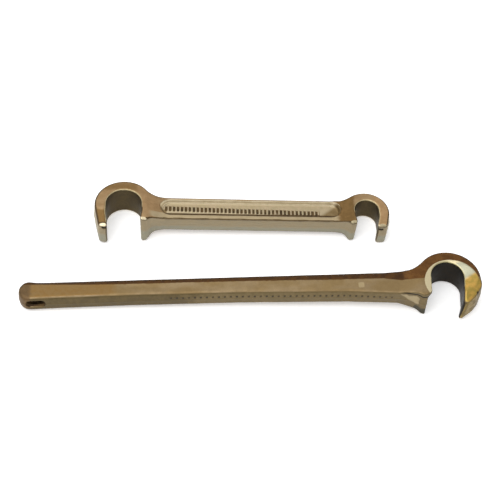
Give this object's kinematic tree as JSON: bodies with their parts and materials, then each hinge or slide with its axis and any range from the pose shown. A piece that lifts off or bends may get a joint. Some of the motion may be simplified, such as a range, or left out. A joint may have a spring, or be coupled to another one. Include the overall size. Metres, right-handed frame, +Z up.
{
  "type": "valve wheel hook wrench pair",
  "caption": "Bronze hook wrenches for turning valve handwheels: a long single-ended one with a solid handle and hang slot, a short double-ended one with a recessed web handle.",
  "frame": {"origin": "on the surface the wrenches lie on, under the middle of the pair's bounding box", "axes": "+X along the handles towards the long wrench's hook, +Y towards the short wrench, +Z up from the surface"},
  "size_m": [0.4358, 0.1506, 0.0329],
  "materials": {
    "bronze_long": "forged and lacquered bronze, ground bright round the hook",
    "bronze_short": "forged bronze, satin with bright worn edges"
  },
  "bodies": {
    "long": {"long_wrench": "bronze_long"},
    "short": {"short_wrench": "bronze_short"}
  },
  "joints": [
    {"name": "short_lift", "type": "slide", "parent": "long", "child": "short", "axis": [0, 0, 1], "range_m": [0, 0.06]}
  ]
}
